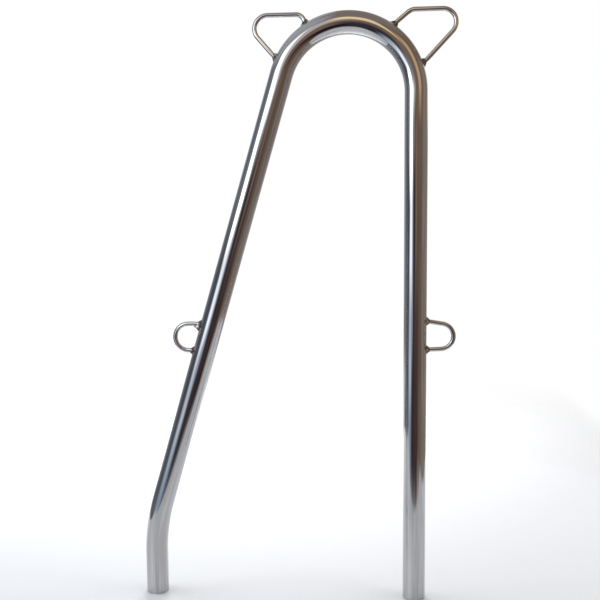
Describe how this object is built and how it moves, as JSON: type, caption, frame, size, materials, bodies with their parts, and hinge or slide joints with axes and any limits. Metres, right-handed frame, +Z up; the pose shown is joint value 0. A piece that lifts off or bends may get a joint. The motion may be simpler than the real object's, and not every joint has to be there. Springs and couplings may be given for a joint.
{
  "type": "gate stanchion",
  "caption": "Polished stainless tube bent into an inverted U with a leaning brace leg, with rod eyes welded to its shoulders and legs for guard wires.",
  "frame": {"origin": "centre of the straight leg's bottom end, on the leg's axis", "axes": "+Z up along the straight leg; every centreline lies in the XZ plane; the brace leg leans out towards -X; +Y is across the frame"},
  "size_m": [0.3515, 0.025, 0.6502],
  "materials": {
    "polished_tube": "mirror-polished stainless steel, with faint polishing lines along the tube",
    "polished_rod": "polished stainless steel rod",
    "weld_metal": "stainless weld bead, rippled and buffed, slightly straw-coloured"
  },
  "bodies": {
    "root": {"frame_tube": "polished_tube", "upper_eye_left": "polished_rod", "upper_eye_right": "polished_rod", "lower_eye_left": "polished_rod", "lower_eye_right": "polished_rod", "weld_upper_left_inner": "weld_metal", "weld_upper_left_outer": "weld_metal", "weld_upper_right_inner": "weld_metal", "weld_upper_right_outer": "weld_metal", "weld_lower_left_top": "weld_metal", "weld_lower_left_bottom": "weld_metal", "weld_lower_right_top": "weld_metal", "weld_lower_right_bottom": "weld_metal"}
  },
  "joints": []
}
